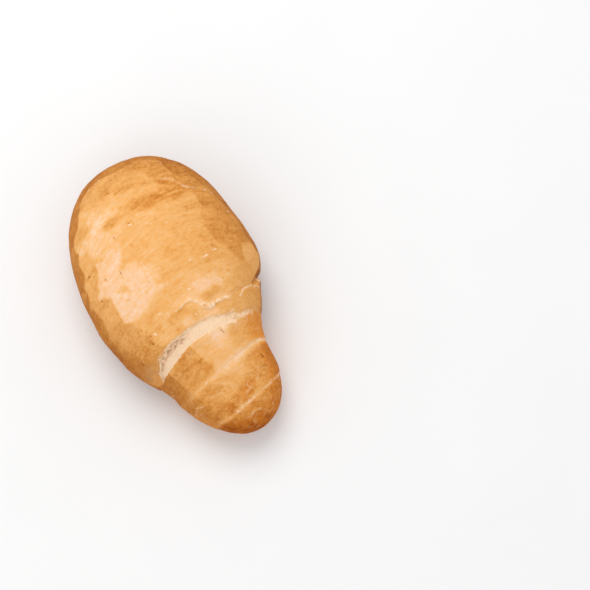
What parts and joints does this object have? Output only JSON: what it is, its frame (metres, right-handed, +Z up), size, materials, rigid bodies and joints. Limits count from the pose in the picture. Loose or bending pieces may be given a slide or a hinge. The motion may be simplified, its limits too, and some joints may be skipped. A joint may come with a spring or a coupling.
{
  "type": "crescent roll",
  "caption": "Rolled horn-shaped white bread roll with a fat smooth body, spiral wraps, a torn band and a narrow bent tip, flat under.",
  "frame": {"origin": "centre of the box around the roll, on the surface that it lies on", "axes": "+X along the roll from the blunt end to the narrow tip, +Y to the side with the notch, +Z up"},
  "size_m": [0.125, 0.0736, 0.048],
  "materials": {
    "crust": "satin"
  },
  "bodies": {
    "root": {"bread_roll": "crust"}
  },
  "joints": []
}
